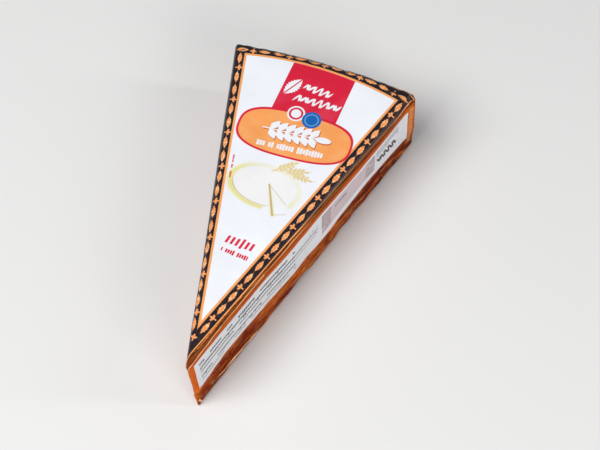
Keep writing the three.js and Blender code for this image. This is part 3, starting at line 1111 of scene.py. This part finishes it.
def wrapper_material():
    material, tree, shader = new_material("printed_foil")
    places = object_places(tree)
    along_walls = object_places(tree, 9, 9, 2.6)
    u, v = sheet_coordinates(tree)
    past_side, past_heel, _ = print_edges(u, v)
    far = past_side.max(past_heel)
    crumpled = (past_side - past_heel).ramp(-1, 1, 0.35, 1)
    lower = far.ramp(22, 27)

    art = Print(tree, COPPER)
    facet_depth = paint_crumple_reflections(art, along_walls, lower, crumpled, v)
    paint_shoulder_reflections(art, u, v, far)
    paint_fold_shade_and_highlights(art)
    paint_fold_highlights(art, u, v)
    side, run, edge = border(art, u, v)
    red_block(art, u, v, edge)
    plaque(art, u, v)
    seals(art, u, v)
    picture(art, u, v)
    small_print(art, u, v)
    info_panel(art, side, run)
    cloud = noise_value(tree, places, 0.05, 3).ramp(0.3, 0.7, 0, 0.1)
    art.colour = mix_colour(tree, cloud, art.colour, CLOUD, "MULTIPLY")

    smudges = noise_value(tree, places, 0.16, 3)
    feed(tree, shader, {
        "Base Color": art.colour,
        "Metallic": 1 - art.ink,
        "Roughness": art.ink * 0.14 + smudges.ramp(0.3, 0.7, 0.2, 0.32),
        "Specular Tint": FOIL_AT_GRAZING,
        "Coat Weight": 0.12,
        "Coat Roughness": 0.12,
    })
    loose = far.ramp(-2, 4, 0.04, 0.1) + lower * crumpled * 0.65
    add_bump(tree, shader, foil_relief(tree, along_walls, facet_depth, loose), 0.8)
    return material


def inside_material():
    material, tree, shader = new_material("foil_inside")
    grain = noise_value(tree, object_places(tree), 0.6, 3)
    roughness = grain.ramp(0.3, 0.7, 0.28, 0.45)
    feed(tree, shader, {"Base Color": BARE_FOIL, "Metallic": 0.85, "Roughness": roughness})
    add_bump(tree, shader, grain, 0.15)
    return material


def cheese_material():
    material, tree, shader = new_material("bloomy_rind_and_paste")
    places = object_places(tree)
    wander = noise_value(tree, places, 0.5, 3)
    depth = attribute_value(tree, "rind_depth") + wander * 1.2 - 0.6
    rind = depth.ramp(0.7, 1.3, 1, 0)
    mottle = noise_value(tree, places, 0.12, 4)
    paste = mix_colour(tree, mottle.ramp(0.35, 0.65), PASTE, RIPE_PASTE)
    bloom = mix_colour(tree, mottle.ramp(0.4, 0.7), BLOOM, RUBBED_BLOOM)
    feed(tree, shader, {
        "Base Color": mix_colour(tree, rind, paste, bloom),
        "Roughness": rind * 0.35 + 0.5,
        "Subsurface Weight": 0.2,
        "Subsurface Radius": (1, 0.6, 0.3),
        "Subsurface Scale": 0.003,
    })
    fuzz = noise_value(tree, places, 2.6, 3) * rind
    holes = noise_value(tree, places, 0.35, 1).ramp(0.2, 0.34) * (1 - rind)
    add_bump(tree, shader, fuzz + holes * 0.8, 0.35)
    return material


# ---- stage

def floor_material():
    material, tree, shader = new_material("pale_floor")
    cloud = noise_value(tree, object_places(tree), 0.004)
    colour = mix_colour(tree, cloud, srgb(221, 220, 218), srgb(225, 224, 222))
    feed(tree, shader, {"Base Color": colour, "Roughness": 0.7})
    return material


def add_floor():
    half = 3
    mesh = bpy.data.meshes.new("floor")
    corners = [(-half, -half, 0), (half, -half, 0), (half, half, 0), (-half, half, 0)]
    mesh.from_pydata(corners, [], [(0, 1, 2, 3)])
    mesh.materials.append(floor_material())
    floor = add_object("floor", mesh)


def add_area_light(name, place, size, power):
    data = bpy.data.lights.new(name, "AREA")
    data.shape = "RECTANGLE"
    data.size, data.size_y = size
    data.energy = power
    lamp = add_object(name, data)
    lamp.location = place
    lamp.rotation_euler = (-Vector(place)).to_track_quat("-Z", "Y").to_euler()


def add_world(colour, strength):
    world = bpy.data.worlds.new("studio")
    world.use_nodes = True
    background = world.node_tree.nodes["Background"]
    background.inputs[0].default_value = colour
    background.inputs[1].default_value = strength
    bpy.context.scene.world = world


def add_camera(azimuth, elevation, roll, distance, aim, lens):
    a, e, r = (math.radians(x) for x in (azimuth, elevation, roll))
    back = Vector((math.sin(a) * math.cos(e), -math.cos(a) * math.cos(e), math.sin(e)))
    level = Vector((math.cos(a), math.sin(a), 0))
    right = level * math.cos(r) + back.cross(level) * math.sin(r)
    data = bpy.data.cameras.new("camera")
    data.lens = lens
    data.sensor_width = 36
    camera = add_object("camera", data)
    turn = Matrix((right, back.cross(right), back)).transposed().to_4x4()
    camera.matrix_world = Matrix.Translation(Vector(aim) + back * distance) @ turn
    bpy.context.scene.camera = camera


bpy.context.scene.view_settings.view_transform = "Standard"
camera_aim = (12.76 * MM, (76.123 + FRAME_SHIFT) * MM, 18.8 * MM)
add_camera(azimuth=25.75, elevation=60.6, roll=-5.16, distance=0.5011, aim=camera_aim, lens=78)
add_floor()
add_world((0.85, 0.9, 1, 1), 0.16)
add_area_light("key", (-0.45, -0.60, 1.15), (0.9, 0.9), 18.5)
add_area_light("fill", (0.95, -0.75, 0.75), (0.7, 0.5), 6.5)
add_area_light("edge", (0.85, 0.22, 0.55), (0.12, 0.5), 1.7)

wrapper = build_wrapper()
wrapper.data.materials.append(wrapper_material())
wrapper.data.materials.append(inside_material())
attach(wrapper, "root")
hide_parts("wrapper")

cheese = build_cheese()
cheese.data.materials.append(cheese_material())
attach(cheese, "root")
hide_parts("cheese_wedge")
